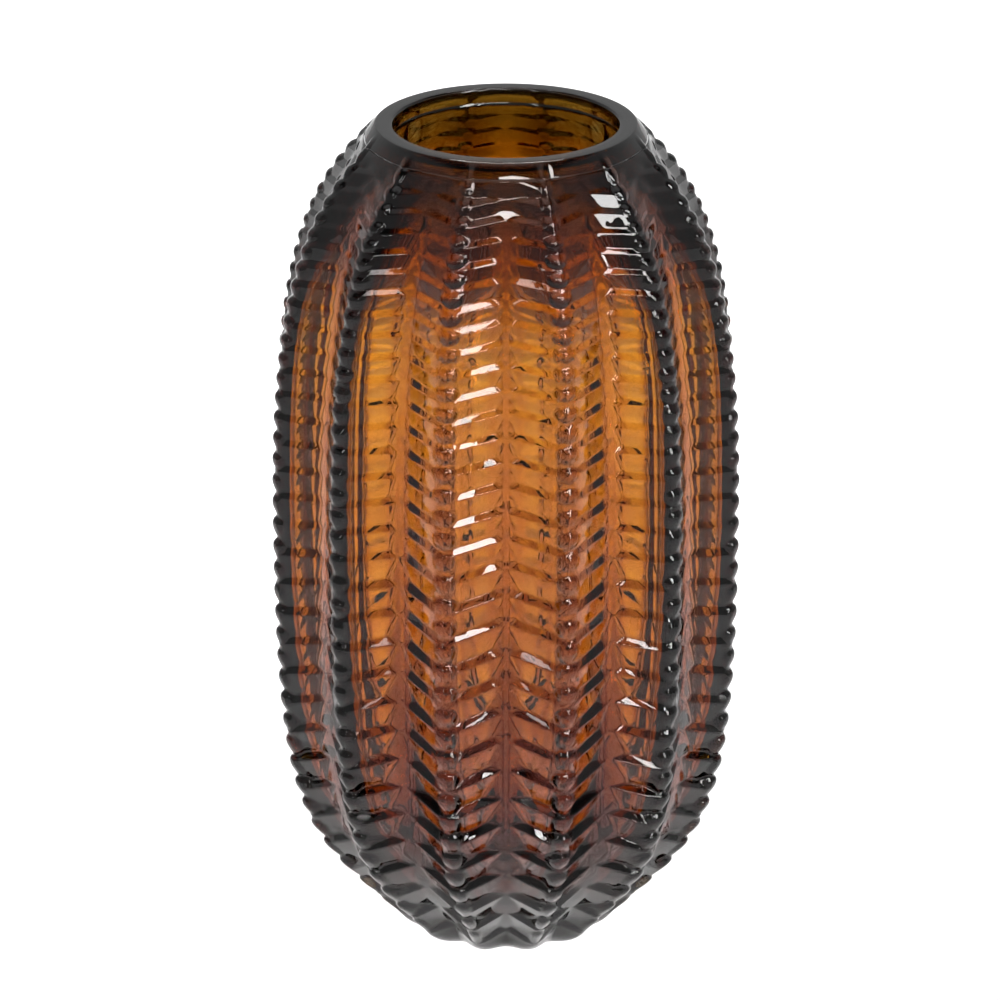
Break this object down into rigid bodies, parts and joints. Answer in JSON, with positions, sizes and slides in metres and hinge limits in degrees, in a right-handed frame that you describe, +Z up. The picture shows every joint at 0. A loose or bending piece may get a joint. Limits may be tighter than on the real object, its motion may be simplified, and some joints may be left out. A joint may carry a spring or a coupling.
{
  "type": "ribbed glass vase",
  "caption": "Barrel-shaped amber glass vase with pressed vertical ribs, a round ground mouth and a small flat foot; it holds water and flower stems.",
  "frame": {"origin": "centre of the foot, on the plane that the vase stands on", "axes": "+Z up along the vase's axis through the mouth; a valley between two ribs faces -Y"},
  "size_m": [0.1596, 0.1596, 0.29],
  "materials": {
    "amber_casing": "fire-polished, pressed herringbone",
    "amber_bubble": "fire-polished, smooth",
    "amber_base": "ground and polished underside",
    "polished_rim": "cut, ground flat and polished"
  },
  "bodies": {
    "root": {"rib_casing": "amber_casing", "inner_bubble": "amber_bubble", "base_pad": "amber_base", "rim_lip": "polished_rim"}
  },
  "joints": []
}
